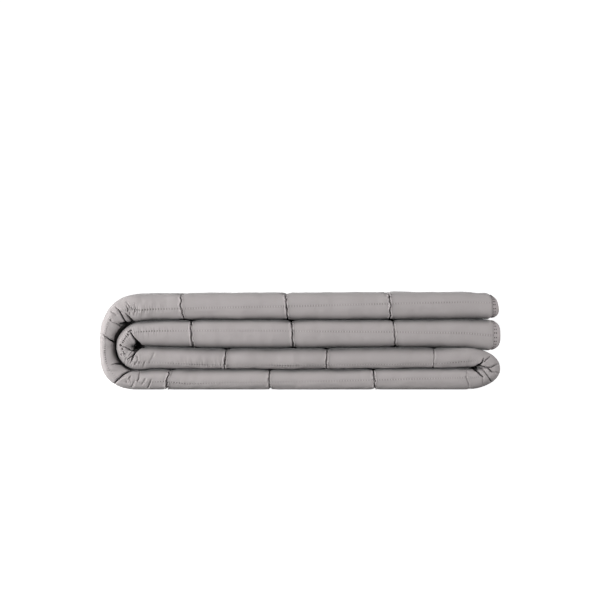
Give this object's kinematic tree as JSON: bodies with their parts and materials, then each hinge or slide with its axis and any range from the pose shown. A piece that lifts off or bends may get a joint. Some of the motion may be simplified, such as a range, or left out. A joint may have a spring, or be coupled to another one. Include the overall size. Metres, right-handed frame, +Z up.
{
  "type": "folded weighted blanket",
  "caption": "Quilted weighted blanket with square pockets and a bound edge, folded in half and then into a flat stack of layers, lying on a surface.",
  "frame": {"origin": "centre of the bounding box at the underside, on the surface that the blanket lies on", "axes": "+X to the right along the folded strip, +Y to the back along the folds, +Z up through the stack of layers"},
  "size_m": [0.4832, 0.748, 0.1174],
  "materials": {
    "quilted_cloth": "warm grey, tightly woven matte cloth with a soft sheen",
    "binding_cloth": "slightly pinker grey binding cloth with two rows of matching stitches"
  },
  "bodies": {
    "root": {"quilted_body": "quilted_cloth", "edge_binding": "binding_cloth"}
  },
  "joints": []
}
